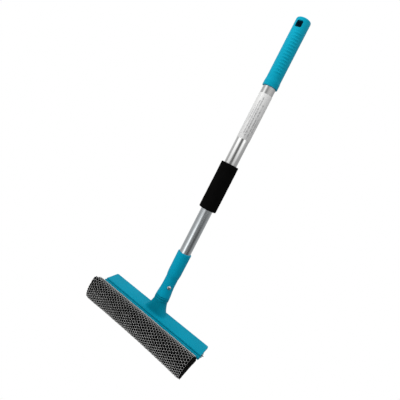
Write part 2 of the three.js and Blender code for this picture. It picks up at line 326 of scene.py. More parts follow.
def moulded_plastic(name, color, rough, gloss, specular):
    """Injection-moulded plastic: a fine spark-eroded grain, faint flow marks and lighter sharp edges."""
    material, tree, shader = new_material(name)
    place = place_of(tree)
    flow = noise_at(tree, place_of(tree, (1, 1, 0.35)), 28, 2)
    edge_pointiness = add(tree, "NewGeometry").outputs["Pointiness"]
    base = mix_colors(tree, remap(tree, flow, 0.3, 0.7, 0, 1), shade(0.94, color), shade(1.05, color))
    # Sharp convex edges are mixed towards a lighter copy of the colour.
    edge_lightening = remap(tree, edge_pointiness, 0.52, 0.62, 0, 0.35)
    lighter = (min(1, color[0] * 1.3 + 0.004), min(1, color[1] * 1.25), min(1, color[2] * 1.2), 1)
    tree.links.new(mix_colors(tree, edge_lightening, base, lighter), shader.inputs["Base Color"])
    scuffs = noise_at(tree, place, 160, 4, 0.6)
    tree.links.new(remap(tree, scuffs, 0.3, 0.75, rough - 0.06, rough + 0.08), shader.inputs["Roughness"])
    grain = noise_at(tree, place, 2600, 2)
    waves = noise_at(tree, place, 45, 1)
    soft = bump_from(tree, waves, 0.08, 0.3)
    tree.links.new(bump_from(tree, grain, 0.01, 0.25, soft), shader.inputs["Normal"])
    shader.inputs["Specular IOR Level"].default_value = specular
    shader.inputs["Specular Tint"].default_value = gloss
    return material


def drawn_aluminium(name, tone, rough, streaks):
    """Aluminium tube drawn along its length: fine straight streaks and a few handling marks."""
    material, tree, shader = new_material(name)
    lines = noise_at(tree, place_of(tree, (1, 1, 0.006)), 2200, 3, 0.6)
    clouds = noise_at(tree, place_of(tree, (1, 1, 0.25)), 60, 3)
    base = mix_colors(tree, remap(tree, clouds, 0.3, 0.7, 0, 1), shade(0.96, tone), shade(1.02, tone))
    tree.links.new(base, shader.inputs["Base Color"])
    tree.links.new(remap(tree, lines, 0.3, 0.7, rough - 0.03, rough + 0.05), shader.inputs["Roughness"])
    tree.links.new(bump_from(tree, lines, 0.004, streaks), shader.inputs["Normal"])
    shader.inputs["Metallic"].default_value = 1
    shader.inputs["Anisotropic"].default_value = 0.3
    return material


def plated_steel(name):
    """Bright zinc-plated steel, darker brown in the recesses."""
    material, tree, shader = new_material(name)
    mottle = noise_at(tree, place_of(tree), 900, 3)
    hollow = remap(tree, add(tree, "NewGeometry").outputs["Pointiness"], 0.42, 0.5, 0, 1)
    bright = mix_colors(tree, mottle, (0.80, 0.79, 0.78, 1), (0.94, 0.93, 0.92, 1))
    recess = (0.16, 0.09, 0.07, 1)
    tree.links.new(mix_colors(tree, hollow, recess, bright), shader.inputs["Base Color"])
    tree.links.new(remap(tree, mottle, 0.3, 0.7, 0.14, 0.28), shader.inputs["Roughness"])
    tree.links.new(bump_from(tree, mottle, 0.01, 0.3), shader.inputs["Normal"])
    shader.inputs["Metallic"].default_value = 1
    return material


def cellular_foam(name, color, cell_scale, depth_mm, specular):
    """Black foam: small cells of uneven size, their mouths darkened as painted shade in the pores."""
    material, tree, shader = new_material(name)
    place = place_of(tree)
    cells = add(tree, "TexVoronoi", {"Vector": place, "Scale": cell_scale}).outputs["Distance"]
    clouds = noise_at(tree, place, 70, 3)
    walls = mix_colors(tree, remap(tree, clouds, 0.3, 0.7, 0, 1), shade(0.8, color), shade(1.25, color))
    # Painted shade: the middle of each cell is darkened, standing in for the shade inside the pores.
    painted_pore_shade = remap(tree, cells, 0.0, 0.35, 1, 0)
    tree.links.new(mix_colors(tree, painted_pore_shade, walls, shade(0.3, color)), shader.inputs["Base Color"])
    tree.links.new(remap(tree, clouds, 0.3, 0.7, 0.86, 0.97), shader.inputs["Roughness"])
    tree.links.new(bump_from(tree, cells, depth_mm, 0.6), shader.inputs["Normal"])
    shader.inputs["Specular IOR Level"].default_value = specular
    return material


def net_yarn(name, pale, grey, soiled):
    """Grey knitted polyester yarn: fine twisted filaments, unevenly soiled."""
    material, tree, shader = new_material(name)
    place = place_of(tree)
    fibres = noise_at(tree, place_of(tree, (1, 0.35, 0.35)), 2600, 3, 0.65)
    soiling = noise_at(tree, place, 38, 3)
    yarn = mix_colors(tree, remap(tree, fibres, 0.3, 0.7, 0, 1), shade(1, grey), shade(1, pale))
    dull = mix_colors(tree, remap(tree, soiling, 0.35, 0.75, 0, 0.35), yarn, shade(1, soiled))
    tree.links.new(dull, shader.inputs["Base Color"])
    tree.links.new(remap(tree, fibres, 0.3, 0.7, 0.6, 0.85), shader.inputs["Roughness"])
    tree.links.new(bump_from(tree, fibres, 0.12, 0.7), shader.inputs["Normal"])
    shader.inputs["Specular IOR Level"].default_value = 0.3
    shader.inputs["Sheen Weight"].default_value = 0.15
    return material


def blade_rubber():
    """Matt black rubber with faint extrusion lines along the blade."""
    material, tree, shader = new_material("blade_rubber")
    lines = noise_at(tree, place_of(tree, (0.01, 1, 1)), 2500, 2)
    bloom = noise_at(tree, place_of(tree), 50, 4)
    black, bloomed = (0.008, 0.008, 0.009, 1), (0.02, 0.02, 0.022, 1)
    base = mix_colors(tree, remap(tree, bloom, 0.35, 0.8, 0, 1), black, bloomed)
    tree.links.new(base, shader.inputs["Base Color"])
    tree.links.new(remap(tree, bloom, 0.3, 0.7, 0.5, 0.68), shader.inputs["Roughness"])
    tree.links.new(bump_from(tree, lines, 0.01, 0.4), shader.inputs["Normal"])
    shader.inputs["Specular IOR Level"].default_value = 0.12
    return material


# Ruled bars on the label: middle and half-width in degrees round the pole from the sponge side,
# start and end in mm from the label's lower edge.
LABEL_BARS = (
    (2, 3.5, 8, 70),
    (21, 4.0, 5, 76),
    (46, 4.5, 3, 64),
    (66, 3.5, 12, 40),
    (-14, 2.0, 30, 60),
)
LABEL_EDGE_STRIPE = (-62, 3.0, 8, 62)
BAR_FADE_DEGREES, BAR_FADE = 3, 1


def label_film():
    """Translucent white film with a few faint ruled bars along the pole, and no lettering."""
    material, tree, shader = new_material("label_film")
    coordinates = add(tree, "TexCoord").outputs["Object"]
    axes = add(tree, "SeparateXYZ", {"Vector": coordinates}).outputs
    around = math_node(tree, "ARCTAN2", axes["X"], math_node(tree, "MULTIPLY", axes["Y"], -1.0))
    along = math_node(tree, "SUBTRACT", axes["Z"], SEAM + LABEL_BOTTOM * MM)

    def bar(middle, half_width, start, end):
        off_centre = math_node(tree, "ABSOLUTE", math_node(tree, "SUBTRACT", around, math.radians(middle)))
        faded_out = math.radians(half_width + BAR_FADE_DEGREES)
        inside = remap(tree, off_centre, math.radians(half_width), faded_out, 1, 0)
        lower = remap(tree, along, start * MM, (start + BAR_FADE) * MM, 0, 1)
        upper = remap(tree, along, (end - BAR_FADE) * MM, end * MM, 1, 0)
        return math_node(tree, "MULTIPLY", inside, math_node(tree, "MULTIPLY", lower, upper))

    ink = bar(*LABEL_BARS[0])
    for placing in LABEL_BARS[1:]:
        ink = math_node(tree, "MAXIMUM", ink, bar(*placing))
    breaks = noise_at(tree, place_of(tree, (0.4, 0.4, 1)), 420, 1)
    faded = math_node(tree, "MULTIPLY", ink, remap(tree, breaks, 0.42, 0.55, 0.35, 1.0))
    haze = noise_at(tree, place_of(tree), 60, 2)
    film = mix_colors(tree, haze, (0.74, 0.74, 0.74, 1), (0.80, 0.80, 0.79, 1))
    grey_ink, teal_ink = (0.42, 0.42, 0.425, 1), (0.22, 0.45, 0.52, 1)
    printed = mix_colors(tree, faded, film, grey_ink)
    edged = mix_colors(tree, bar(*LABEL_EDGE_STRIPE), printed, teal_ink)
    tree.links.new(edged, shader.inputs["Base Color"])
    tree.links.new(remap(tree, haze, 0.3, 0.7, 0.34, 0.42), shader.inputs["Roughness"])
    tree.links.new(bump_from(tree, haze, 0.004, 0.3), shader.inputs["Normal"])
    shader.inputs["Metallic"].default_value = 0.25
    shader.inputs["Coat Weight"].default_value = 0.2
    return material


teal_grip = moulded_plastic("teal_grip", GRIP_TEAL, 0.42, TEAL_GLOSS, 0.12)
teal_tunnel_painted_shade = moulded_plastic("teal_tunnel_painted_shade", TUNNEL_SHADE_TEAL, 0.6, TEAL_GLOSS, 0.05)
teal_neck_painted_light = moulded_plastic("teal_neck_painted_light", NECK_PAINTED_LIGHT_TEAL, 0.4, TEAL_GLOSS, 0.1)
teal_head = moulded_plastic("teal_head", HEAD_TEAL, 0.4, TEAL_GLOSS, 0.1)
upper_aluminium = drawn_aluminium("upper_aluminium", (0.9, 0.9, 0.895), 0.15, 0.2)
lower_aluminium = drawn_aluminium("lower_aluminium", (0.80, 0.845, 0.87), 0.2, 0.3)
steel = plated_steel("plated_steel")
grip_foam = cellular_foam("grip_foam", (0.0028, 0.0027, 0.0027), 1400, 0.1, 0.03)
sponge_foam = cellular_foam("sponge_foam", (0.0025, 0.0025, 0.0025), 900, 0.4, 0.05)
yarn = net_yarn("net_yarn", (0.80, 0.80, 0.79), (0.52, 0.52, 0.515), (0.32, 0.32, 0.32))
# A near-black copy of the yarn: painted shade for the yarns' sides and undersides.
yarn_painted_shade = net_yarn("yarn_painted_shade", (0.04, 0.04, 0.04), (0.02, 0.02, 0.02), (0.01, 0.01, 0.01))
rubber = blade_rubber()
label = label_film()
white_nylon = moulded_plastic("white_nylon", (0.72, 0.72, 0.69), 0.5, NEUTRAL_GLOSS, 0.4)
black_nylon = moulded_plastic("black_nylon", (0.02, 0.02, 0.022), 0.5, NEUTRAL_GLOSS, 0.4)


# ---- handle ----
RIB_COUNT = 14
RIB_FIRST, RIB_LAST = 411.1, 481
RIB_HEIGHT = 0.56
RIB_HALF_WIDTH = 1.9
RIB_MIDDLE = math.radians(27)  # round the grip from the sponge side towards +X, and again opposite
RIB_SPREAD = math.radians(14)  # a rib keeps its full height this far to each side of its middle
RIB_FADE = math.radians(24)
GRIP_R = 12.9
SKIN = 0.8  # faces within this of a bore belong to the bore
HOLE_HALF_WIDTH, HOLE_HALF_HEIGHT, HOLE_CORNER = 5.4, 5.4, 2.4
HOLE_FLARES = ((10.8, 0), (11.8, 0.15), (12.6, 0.5), (16, 1.8))  # distance from the axis, widening
TUNNEL_HALF_LENGTH = 11.6  # the hang hole's walls that get the painted shade, short of the flares


def rib_lift(x, y, height):
    """How far the grip's surface rises at a point: short soft bars on two opposite sides."""
    pitch = (RIB_LAST - RIB_FIRST) / (RIB_COUNT - 1)
    nearest = RIB_FIRST + pitch * min(max(round((height - RIB_FIRST) / pitch), 0), RIB_COUNT - 1)
    across = abs(height - nearest) / RIB_HALF_WIDTH
    if across >= 1:
        return 0.0
    turned_by = math.atan2(x, -y) - RIB_MIDDLE
    from_middle = abs(math.remainder(turned_by, math.pi))
    sideways = min(max((RIB_SPREAD + RIB_FADE - from_middle) / RIB_FADE, 0), 1)
    return RIB_HEIGHT * math.cos(across * math.pi / 2) ** 2 * sideways * sideways * (3 - 2 * sideways)


def hand_grip():
    bore = OUTER_R + GAP
    rib_zone = [(GRIP_R, h, 0) for h in np.arange(RIB_FIRST - 3, RIB_LAST + 3, 0.4)]
    outline = rounded(
        [
            (0, OUTER_TOP + GAP, 0),
            (bore, OUTER_TOP + GAP, 0),
            (bore, GRIP_BOTTOM, 0.3),
            (RIM_R, GRIP_BOTTOM, 0.7),
            (RIM_R, GRIP_BOTTOM + 9, 6),
            (GRIP_R, GRIP_BOTTOM + 14, 8),
            *rib_zone,
            (GRIP_R, GRIP_TOP - 0.9, 2.8),
            (0.5 * GRIP_R, GRIP_TOP, 6),
            (0, GRIP_TOP, 0),
        ]
    )
    mesh = turned(outline, 180)
    for vertex in mesh.verts:
        distance = math.hypot(vertex.co.x, vertex.co.y)
        if distance > bore + SKIN:
            widen(vertex, 1 + rib_lift(*vertex.co) / distance)
    piece = as_object(mesh, "grip")
    combine(piece, as_object(hang_hole_cutter(), "hole"), "DIFFERENCE")
    finish_piece(piece, HANDLE, teal_grip, ["hand_grip"], 40)
    # The faces inside the hang hole get the darker teal copy: painted shade on the hole's walls.
    piece.data.materials.append(teal_tunnel_painted_shade)
    for face in piece.data.polygons:
        across, through, up = (abs(value) / MM for value in face.center)
        if across < HOLE_HALF_WIDTH + 0.2 and up < HOLE_HALF_HEIGHT + 0.2 and through < TUNNEL_HALF_LENGTH:
            face.material_index = 1
    return piece


def hang_hole_cutter():
    """A rounded square along Y that opens out where it meets the grip's front and back."""
    sections = []
    front = [(-y, flare) for y, flare in reversed(HOLE_FLARES)]
    for y, flare in [*front, *HOLE_FLARES]:
        half_x, half_z = HOLE_HALF_WIDTH + flare, HOLE_HALF_HEIGHT + flare
        corners = [(half_x, half_z), (-half_x, half_z), (-half_x, -half_z), (half_x, -half_z)]
        outline = rounded([(x, z, HOLE_CORNER + flare) for x, z in corners], 8)
        sections.append([(x, y, HANG_HOLE + z) for x, z in outline])
    return lofted(sections)


def metal_tube(name, outer, wall, bottom, top, material, node, body):
    """A drawn tube with deburred ends."""
    inner = outer - wall
    burr = 0.2
    corners = [(inner, bottom), (outer, bottom), (outer, top), (inner, top)]
    outline = rounded([(radius, height, burr) for radius, height in corners], 3)
    return finish_piece(as_object(turned(outline, 160), name), body, material, [node])


FILM_THICKNESS = 0.2
OVERLAP_DEGREES, OVERLAP_STEP = 26, 0.16


def tube_label():
    """The film, whose ends overlap in a low step behind the pole."""
    inner = LABEL_R - FILM_THICKNESS
    edge = 0.08
    corners = [(LABEL_R, LABEL_BOTTOM, edge), (LABEL_R, LABEL_TOP, edge), (inner, LABEL_TOP, 0)]
    mesh = turned(rounded([(inner, LABEL_BOTTOM, 0), *corners], 2), 180)
    for vertex in mesh.verts:
        angle = math.degrees(math.atan2(vertex.co.x, vertex.co.y))
        if 0 <= angle < OVERLAP_DEGREES:
            widen(vertex, 1 + OVERLAP_STEP / LABEL_R)
    return finish_piece(as_object(mesh, "label"), HANDLE, label, ["tube_label"], 60)


def foam_grip():
    """A foam sleeve with a crisp upper edge and a lower edge turned in, faintly uneven all over."""
    bore = OUTER_R + GAP
    wide_bore = FERRULE_R + GAP
    side = [(FOAM_R, h, 0) for h in np.arange(FOAM_BOTTOM + 6, FOAM_TOP - 3, 0.8)]
    outline = rounded(
        [
            (wide_bore, FOAM_BOTTOM + 0.4, 0.6),
            (FOAM_R, FOAM_BOTTOM, 3.2),
            *side,
            (FOAM_R, FOAM_TOP, 1.3),
            (bore, FOAM_TOP, 0.6),
            (bore, FERRULE_TOP + 1, 0),
            (wide_bore, FERRULE_TOP + 1, 0),
        ],
        8,
    )
    mesh = turned(outline, 150)
    for vertex in mesh.verts:
        distance = math.hypot(vertex.co.x, vertex.co.y)
        if distance > wide_bore + SKIN:
            unevenness = 0.14 * noise.noise(vertex.co * 0.12) + 0.07 * noise.noise(vertex.co * 1.6)
            widen(vertex, 1 + unevenness / distance)
    return finish_piece(as_object(mesh, "foam_sleeve"), HANDLE, grip_foam, ["foam_grip"], 60)


# ---- neck ----
NECK_R = 10.8
COLLAR_R = 12.9
GROOVE_DEPTH = 1.0
SPIGOT_R = 7.4
SPIGOT_TOP = 30
SHANK_R = 1.8


def at_neck_screw():
    """Where a piece drawn up the Z axis points out of the neck at the screw's height."""
    turn = Matrix.Rotation(SCREW_TURN, 4, "Z") @ Matrix.Rotation(math.pi / 2, 4, "X")
    return Matrix.Translation((0, 0, SCREW_HEIGHT)) @ turn


def pole_socket():
    """The sleeve that holds the pole, stepping down to the neck, with a ring at its lower edge."""
    bore = INNER_R + GAP
    spigot_bore = SPIGOT_R + GAP
    seat = INNER_BOTTOM - GAP
    outline = rounded(
        [
            (spigot_bore, -NECK_BELOW_SEAM, 0.2),
            (COLLAR_R - 0.2, -NECK_BELOW_SEAM, 1.2),
            (COLLAR_R - 0.5, -4.5, 3),
            (NECK_R + 0.4, 6, 10),
            (NECK_R, 14, 10),
            (NECK_R, 27, 6),
            (SOCKET_R - 0.35, 34, 6),
            (SOCKET_R, SOCKET_TOP, 0.6),
            (bore, SOCKET_TOP, 0.4),
            (bore, seat, 0),
            (spigot_bore, seat, 0),
        ],
        8,
    )
    piece = as_object(turned(outline), "neck_socket")
    hole = [(0, 4), (SHANK_R + GAP, 4), (SHANK_R + GAP, 30), (0, 30)]
    combine(piece, as_object(turned(hole, 32), "bore", at_neck_screw()), "DIFFERENCE")
    spot_face = [(0, NECK_R + 0.05), (4.0, NECK_R + 0.05), (4.0, 20), (0, 20)]
    combine(piece, as_object(turned(spot_face, 48), "spot", at_neck_screw()), "DIFFERENCE")
    # The neck gets the lighter teal copy: painted light on the same plastic as the head.
    return finish_piece(piece, HEAD, teal_neck_painted_light, ["pole_socket"], 30)


HEAD_RISE = 2.2  # a screw head's height
HEAD_R = 3.2


def pan_head_screw(name, tip, seat, place, node):
    """A cross-recess pan-head screw with a plain shank, drawn up the Z axis."""
    body = [(0, tip), (SHANK_R, tip + 1.5), (SHANK_R, seat)]
    crown = rounded([(0, 0, 0), (HEAD_R, 0, 0.25), (HEAD_R, 1.5, 1.1), (0, HEAD_RISE + 0.25, 0)], 6)[1:]
    outline = body + [(r, seat + h) for r, h in crown]
    outline[-1] = (0, seat + HEAD_RISE)
    piece = as_object(turned(outline, 48), name, place)
    for turn in (0, math.pi / 2):
        wing = lofted(
            [
                [(-half_x, -half_y, h), (half_x, -half_y, h), (half_x, half_y, h), (-half_x, half_y, h)]
                for half_x, half_y, h in ((0.8, 0.4, seat + 0.4), (2.2, 0.62, seat + HEAD_RISE + 0.6))
            ]
        )
        combine(piece, as_object(wing, "wing", place @ Matrix.Rotation(turn + 0.4, 4, "Z")), "DIFFERENCE")
    return finish_piece(piece, HEAD, steel, [node], 32)


# ---- head ----
STEM_TOP = -16
STEM_HALF_WIDTH = 21.8
STEM_HALF_DEPTH = 8
STEM_FILLET = 2.6
PLATE_FRONT, PLATE_BACK, PLATE_THICKNESS = -14, 12, 3
PLATE_BACK_INSET = 1.5
LIP_RISE = 0.7  # the low lip along the plate's front edge
SLOT_FACE = 1.3  # the flange's underside, above the blade's middle plane
FLANGE = (-4, 14, 2.5)  # start and end across the head, thickness
JAW_SEAT = -4.1  # the jaw's underside
JAW_SCREW_PITCH = 56
JAW_SCREWS = 4

on_plate = Matrix.Translation((0, 0, PLATE_HEIGHT)) @ Matrix.Rotation(PLATE_TILT, 4, "X")
on_blade = Matrix.Translation(BLADE_ROOT) @ Matrix.Rotation(BLADE_TILT, 4, "X")


def jaw_screw_places():
    first = -JAW_SCREW_PITCH * (JAW_SCREWS - 1) / 2
    return [first + i * JAW_SCREW_PITCH for i in range(JAW_SCREWS)]


def stem():
    """The stem under the collar: it spreads to a wide flat foot with a fillet where it meets the plate."""
    sections = []
    levels = [k / 14 for k in range(14)] + [0.955, 0.975, 0.99, 1.0]
    drop = PLATE_HEIGHT - STEM_TOP
    for level in [-0.15] + levels + [1.06]:
        down = min(max(level, 0), 1)
        half_width = COLLAR_R - 0.5 + (STEM_HALF_WIDTH - COLLAR_R + 0.5) * down**1.7
        half_depth = COLLAR_R - 0.5 + (STEM_HALF_DEPTH - COLLAR_R + 0.5) * down**0.8
        above_plate = (1 - down) * abs(drop)
        if above_plate < STEM_FILLET:
            spread = STEM_FILLET - math.sqrt(STEM_FILLET**2 - (STEM_FILLET - above_plate) ** 2)
            half_width += spread
            half_depth += spread
        squareness = 2 + 1.6 * down
        section = []
        for k in range(96):
            angle = 2 * math.pi * k / 96
            c, s = math.cos(angle), math.sin(angle)
            x = half_width * math.copysign(abs(c) ** (2 / squareness), c)
            y = half_depth * math.copysign(abs(s) ** (2 / squareness), s)
            foot = PLATE_HEIGHT + y * math.tan(PLATE_TILT)
            section.append((x, y, STEM_TOP + (foot - STEM_TOP) * level))
        sections.append(section)
    return lofted(sections)


def plate():
    """The flat plate: square front corners and rounded back ones."""
    outline = rounded(
        [
            (PLATE_LEFT, PLATE_FRONT, 0.8),
            (PLATE_RIGHT, PLATE_FRONT, 0.8),
            (PLATE_RIGHT - PLATE_BACK_INSET, PLATE_BACK, 3),
            (PLATE_LEFT + PLATE_BACK_INSET, PLATE_BACK, 3),
        ],
        8,
    )
    return lofted([[(x, y, z) for x, y in outline] for z in (-PLATE_THICKNESS, 0)])


def plate_lip():
    """The low rounded lip that stands on the plate along its front edge."""
    outline = rounded(
        [
            (PLATE_FRONT + 0.6, -1, 0),
            (PLATE_FRONT + 3.4, -1, 0),
            (PLATE_FRONT + 3, 0.02, 0.5),
            (PLATE_FRONT + 2.4, LIP_RISE, 0.5),
            (PLATE_FRONT + 1.2, LIP_RISE, 0.5),
        ],
        4,
    )
    return bar_along_x(outline, PLATE_LEFT + 0.3, PLATE_RIGHT - 0.3)


def drill_for_jaw_screws(piece):
    """Clearance holes for the screws that hold the jaw, from under the jaw into the flange."""
    low, high, bore = JAW_SEAT - 2, 3.6, SHANK_R + GAP
    outline = [(0, low), (bore, low), (bore, high), (0, high)]
    for x in jaw_screw_places():
        place = on_blade @ Matrix.Translation((x, 0, 0))
        combine(piece, as_object(turned(outline, 24), "pilot", place), "DIFFERENCE")


def head_body():
    """Plate, stem, collar, spigot and blade flange, moulded in one."""
    piece = as_object(plate(), "head", on_plate)
    soften_edges(piece, 0.5)
    combine(piece, as_object(plate_lip(), "lip", on_plate), "UNION")
    combine(piece, as_object(stem(), "stem"), "UNION")
    top = -NECK_BELOW_SEAM - GAP
    collar = rounded(
        [
            (0, STEM_TOP - 1, 0),
            (COLLAR_R - 0.9, STEM_TOP - 1, 0),
            (COLLAR_R - 0.1, STEM_TOP + 1.2, 2),
            (COLLAR_R, -12.9, 0.3),
            (COLLAR_R - GROOVE_DEPTH, -12.4, 0.25),
            (COLLAR_R - GROOVE_DEPTH, -11.4, 0.25),
            (COLLAR_R, -10.9, 0.3),
            (COLLAR_R - 0.1, top, 1.3),
            (SPIGOT_R, top, 0.2),
            (SPIGOT_R, SPIGOT_TOP, 0.8),
            (0, SPIGOT_TOP, 0),
        ],
        5,
    )
    combine(piece, as_object(turned(collar), "collar"), "UNION")
    start, end, thickness = FLANGE
    low, high = SLOT_FACE, SLOT_FACE + thickness
    flange = rounded([(y, z, 0.4) for y, z in ((start, low), (end, low), (end, high), (start, high))], 3)
    combine(piece, as_object(bar_along_x(flange, JAW_LEFT, JAW_RIGHT), "flange", on_blade), "UNION")
    bore = [(0, 2), (SHANK_R + GAP, 2), (SHANK_R + GAP, 16), (0, 16)]
    combine(piece, as_object(turned(bore, 32), "bore", at_neck_screw()), "DIFFERENCE")
    drill_for_jaw_screws(piece)
    return finish_piece(piece, HEAD, teal_head, ["head_body"], 28)


def head_jaw():
    """The clamp under the plate, with a heel on the flange and a lip on the blade's root."""
    outline = rounded(
        [
            (-3, JAW_SEAT, 0.8),
            (15, JAW_SEAT, 1.6),
            (15, -SLOT_FACE, 0.4),
            (5.5, -SLOT_FACE, 0.2),
            (5.5, SLOT_FACE - GAP, 0.4),
            (-3, SLOT_FACE - GAP, 0.5),
        ],
        5,
    )
    piece = as_object(bar_along_x(outline, JAW_LEFT, JAW_RIGHT), "jaw", on_blade)
    soften_edges(piece, 0.35)
    drill_for_jaw_screws(piece)
    return finish_piece(piece, HEAD, teal_head, ["head_jaw"], 28)


def sponge_rail():
    """The strip that holds the sponge: a rounded nose in front of the plate and a tail under it."""
    front, tail = -18.7, -10.6
    under = -PLATE_THICKNESS - GAP
    outline = rounded(
        [
            (tail, -6, 0.5),
            (tail, under, 0.4),
            (PLATE_FRONT - 0.6, under, 0.3),
            (PLATE_FRONT - 0.6, -2.2, 0.2),
            (PLATE_FRONT - 1.6, -0.5, 0.7),
            (-16.6, -0.3, 1.4),
            (front, -2.2, 1.5),
            (front, -6, 0.9),
        ],
        6,
    )
    piece = as_object(bar_along_x(outline, PLATE_LEFT, PLATE_RIGHT), "rail", on_plate)
    soften_edges(piece, 0.5)
    return finish_piece(piece, HEAD, teal_head, ["sponge_rail"], 28)


def rubber_blade():
    """The blade: a thick root in the jaw, tapering to a square-cut lip."""
    outline = rounded([(6, -1, 0.3), (26, -0.65, 0.12), (26, 0.65, 0.12), (6, 1, 0.3)], 3)
    piece = as_object(bar_along_x(outline, BLADE_LEFT, BLADE_RIGHT), "blade", on_blade)
    soften_edges(piece, 0.12, 40, 2)
    return finish_piece(piece, HEAD, rubber, ["rubber_blade"], 35)


# ---- sponge and net ----
# The section's knots (y, z): puffed up in front of the rail, round at the front, thin at its lower edge.
SPONGE_KNOTS = (
    (-17.5, -51.8),
    (-20.6, -46.4),
    (-25, -42.2),
    (-32, -40),
    (-39.5, -41.2),
    (-45, -47),
    (-46.8, -56),
    (-45.3, -67),
    (-41.5, -75.5),
    (-38, -78.3),
    (-34.5, -76),
    (-29, -68),
    (-23, -59.5),
)
SECTION_MIDDLE = np.array((-34.0, -57.0))
NET_GAP, NET_THICKNESS = 0.3, 0.8  # over the sponge's skin
COLUMN_PITCH, ROW_PITCH = 3.85, 4.6
MESH_HOLE_R = 2.11  # widened until the net was as dark as the photograph's
MESH_ANGULARITY = 0.85  # 0 leaves the meshes round, 1 makes them six-sided
# It follows what the mesh itself measures: half its surface, the yarns' sides included, is 0.38 of the
# rectangle. Seen from above, yarn covers 0.12 of it.
PORE_DEPTH = 0.15
END_ROUNDING = 3.5
END_SHRINK = 0.1  # share of the section's size
EDGE_LIFT = 1.7  # the lower edge bows up by this much between the ends
PUFF_LENGTH = 16.0  # the left end's upper corner is puffed up over this length
PUFF_MIDDLE, PUFF_REACH = Vector((-43, -42)), 7.5
PUFF = Vector((-1.2, 5.0))
SLANT_FROM, SLANT = 70.0, 4.0  # the right end is cut back by this much at the lower edge


def smooth_section(samples=720):
    """Even points round the closed curve through the knots, and their outward normals."""
    knots = np.array(SPONGE_KNOTS)
    count = len(knots)
    curve = []
    for i in range(count):
        p = [knots[(i + k) % count] for k in (-1, 0, 1, 2)]
        a, b, c = (max(np.linalg.norm(p[k + 1] - p[k]), 1e-6) ** 0.5 for k in range(3))
        leave = ((p[1] - p[0]) / a - (p[2] - p[0]) / (a + b) + (p[2] - p[1]) / b) * b
        arrive = ((p[2] - p[1]) / b - (p[3] - p[1]) / (b + c) + (p[3] - p[2]) / c) * b
        for t in np.linspace(0, 1, 60, endpoint=False):
            t2, t3 = t * t, t * t * t
            from_start = (2 * t3 - 3 * t2 + 1) * p[1] + (t3 - 2 * t2 + t) * leave
            curve.append(from_start + (3 * t2 - 2 * t3) * p[2] + (t3 - t2) * arrive)
    curve = np.array(curve)
    steps = np.linalg.norm(np.roll(curve, -1, 0) - curve, axis=1)
    lengths = np.concatenate(([0], np.cumsum(steps)))
    closed = np.vstack((curve, curve[:1]))
    even = np.linspace(0, lengths[-1], samples, endpoint=False)
    points = np.column_stack([np.interp(even, lengths, closed[:, axis]) for axis in (0, 1)])
    tangents = np.roll(points, -1, 0) - np.roll(points, 1, 0)
    normals = np.column_stack((tangents[:, 1], -tangents[:, 0]))
    normals /= np.linalg.norm(normals, axis=1)[:, None]
    if np.sum((points - SECTION_MIDDLE) * normals) < 0:
        normals = -normals
    return points, normals, lengths[-1]


SECTION, SECTION_NORMALS, PERIMETER = smooth_section()


def end_shrink(x):
    """How far the sponge's section draws in towards its left end, as a share of its size."""
    from_left = (x - SPONGE_LEFT) / END_ROUNDING
    if from_left >= 1:
        return 0.0
    return END_SHRINK * (1 - math.sqrt(max(0.0, 1 - (1 - max(from_left, 0)) ** 2)))


def sponge_point(x, share, outwards):
    """The point at a place along the head and a share of the way round the section, pushed outwards."""
    position = (share % 1) * len(SECTION)
    index = int(position) % len(SECTION)
    following = (index + 1) % len(SECTION)
    part = position - int(position)
    point = SECTION[index] * (1 - part) + SECTION[following] * part
    normal = SECTION_NORMALS[index] * (1 - part) + SECTION_NORMALS[following] * part
    low_edge = min(max((-62 - point[1]) / 15, 0), 1)
    swell = 0.35 * noise.noise(Vector((x * 0.035, point[0] * 0.05, point[1] * 0.05)))
    point = SECTION_MIDDLE + (point - SECTION_MIDDLE) * (1 - end_shrink(x)) + normal * (outwards + swell)
    towards_left = min(max(1 - (x - SPONGE_LEFT) / PUFF_LENGTH, 0), 1)
    near_corner = max(0.0, 1 - ((Vector(point) - PUFF_MIDDLE).length / PUFF_REACH) ** 2)
    puff = PUFF * (towards_left**1.5 * near_corner)
    middle = max(0.0, 1 - (x / 95) ** 2)
    lift = EDGE_LIFT * low_edge * low_edge * middle
    drop = min(max((-48 - point[1]) / 30, 0), 1)
    slant = SLANT * drop * min(max((x - SLANT_FROM) / (SPONGE_RIGHT - SLANT_FROM), 0), 1)
    return Vector((x - slant, point[0] + puff.x, point[1] + puff.y + lift))


def sponge_core():
    """The sponge: a puffed strip with an open-celled, uneven skin and rough cut ends."""
    around = 110
    stations = [SPONGE_LEFT + 0.05 * k * k for k in range(6)]
    stations += list(np.arange(SPONGE_LEFT + 2.4, SPONGE_RIGHT - 1, 1.3))
    stations += [SPONGE_RIGHT - 0.7, SPONGE_RIGHT - 0.25, SPONGE_RIGHT]
    right_insets = {len(stations) - 1: 0.9, len(stations) - 2: 0.3}
    sections = []
    for index, x in enumerate(stations):
        ring = []
        for k in range(around):
            skin = sponge_point(x, k / around, 0)
            pores = 0.32 * noise.noise(skin * 0.9) + 0.2 * noise.noise(skin * 2.1)
            inset = PORE_DEPTH + right_insets.get(index, 0)
            ring.append(sponge_point(x, k / around, min(pores, PORE_DEPTH) - inset))
        sections.append(ring)
    mesh = lofted(sections)
    for face in [f for f in mesh.faces if len(f.verts) > 4]:
        roughen_end(mesh, face)
    piece = as_object(outward(mesh), "sponge")
    finish_piece(piece, HEAD, sponge_foam, ["sponge_core"], 60)
    return piece


def roughen_end(mesh, face):
    """Turns a flat end into rings of small uneven steps, as a cut through foam."""
    side = 1 if face.calc_center_median().x > 0 else -1
    for _ in range(9):
        inset = bmesh.ops.inset_region(mesh, faces=[face], thickness=1.15, use_even_offset=False)
        for ring_face in inset["faces"]:
            for vertex in ring_face.verts:
                if abs(vertex.co.x) > abs(SPONGE_LEFT if side < 0 else SPONGE_RIGHT) - 0.5:
                    vertex.co.x += side * -0.06 * abs(noise.noise(vertex.co * 1.3))


